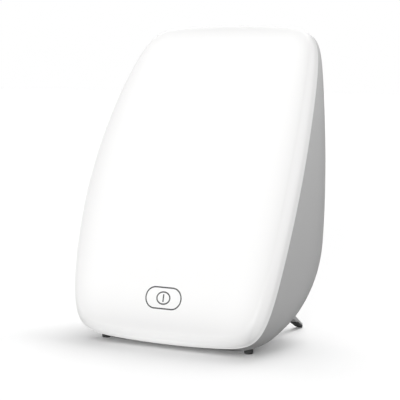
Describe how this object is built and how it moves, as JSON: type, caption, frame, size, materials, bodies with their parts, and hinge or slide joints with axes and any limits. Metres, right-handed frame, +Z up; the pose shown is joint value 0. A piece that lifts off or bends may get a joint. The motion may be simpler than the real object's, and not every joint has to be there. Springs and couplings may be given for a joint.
{
  "type": "light therapy lamp",
  "caption": "Compact light therapy lamp: a leaning opal screen with rounded corners on a deep grey housing, with rubber front feet and a fold-out rear stand.",
  "frame": {"origin": "on the table, at the middle of the lamp's bounding box in X and Y with the stand out", "axes": "+Z up, the lit screen looks towards -Y, +X is to the right of someone who looks at the screen"},
  "size_m": [0.1728, 0.127, 0.2291],
  "materials": {
    "opal": "satin opal, lit from behind",
    "grey_plastic": "fine satin",
    "white_plastic": "matte white",
    "white_board": "white solder mask",
    "green_board": "green solder mask",
    "foam": "soft foam",
    "black_plastic": "satin black",
    "rubber": "matte dark rubber",
    "steel": "zinc plated",
    "red_wire": "insulation",
    "blue_wire": "insulation"
  },
  "bodies": {
    "lamp": {"light_screen": "opal", "rear_housing": "grey_plastic", "light_tray": "white_plastic", "led_strip_1": "white_board", "led_strip_2": "white_board", "led_strip_3": "white_board", "led_strip_4": "white_board", "led_strip_5": "white_board", "led_strip_6": "white_board", "led_strip_7": "white_board", "led_strip_8": "white_board", "touch_board": "green_board", "touch_pad": "foam", "control_board": "green_board", "dc_jack": "black_plastic", "dc_jack_pin": "steel", "led_lead": "red_wire", "touch_lead": "blue_wire", "tray_screw_1": "steel", "tray_screw_2": "steel", "tray_screw_3": "steel", "tray_screw_4": "steel", "board_screw_1": "steel", "board_screw_2": "steel", "board_screw_3": "steel", "board_screw_4": "steel", "front_foot_left": "rubber", "front_foot_right": "rubber", "stand_pin_left": "steel", "stand_pin_right": "steel"},
    "stand": {"stand": "grey_plastic", "stand_tip_left": "rubber", "stand_tip_right": "rubber"}
  },
  "joints": [
    {"name": "stand_hinge", "type": "hinge", "parent": "lamp", "child": "stand", "pos_m": [0, 0.01664, 0.0275], "axis": [1, 0, 0], "range_deg": [-126, 0]}
  ]
}
